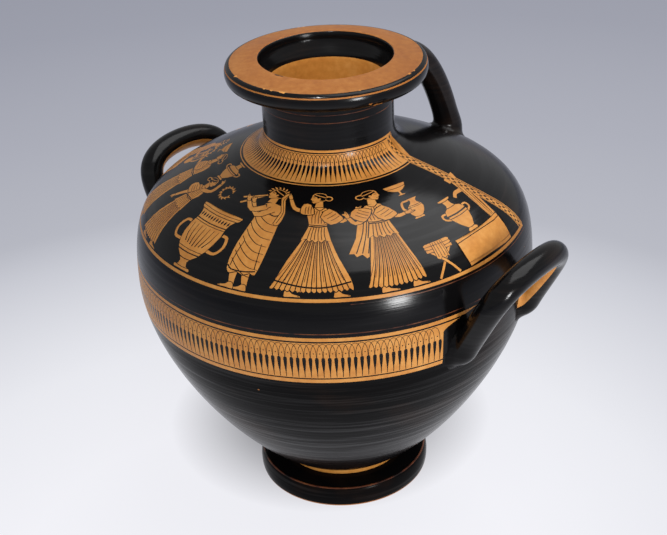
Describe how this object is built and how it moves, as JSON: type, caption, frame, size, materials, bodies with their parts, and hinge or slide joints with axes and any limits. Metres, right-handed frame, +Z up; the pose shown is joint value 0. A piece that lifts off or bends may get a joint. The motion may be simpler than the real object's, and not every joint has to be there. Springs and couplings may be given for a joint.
{
  "type": "hydria",
  "caption": "Painted water jar with a wide belly, a narrow neck under a flat lip, two side handles, a back handle and a disc foot.",
  "frame": {"origin": "middle of the foot, on the surface that the jar stands on", "axes": "+Z up along the jar's axis, -Y towards the front of the painted shoulder, +Y towards the back handle, +X towards one side handle"},
  "size_m": [0.3486, 0.2806, 0.33],
  "materials": {
    "black_gloss_clay": "satin gloss"
  },
  "bodies": {
    "root": {"hydria": "black_gloss_clay"}
  },
  "joints": []
}
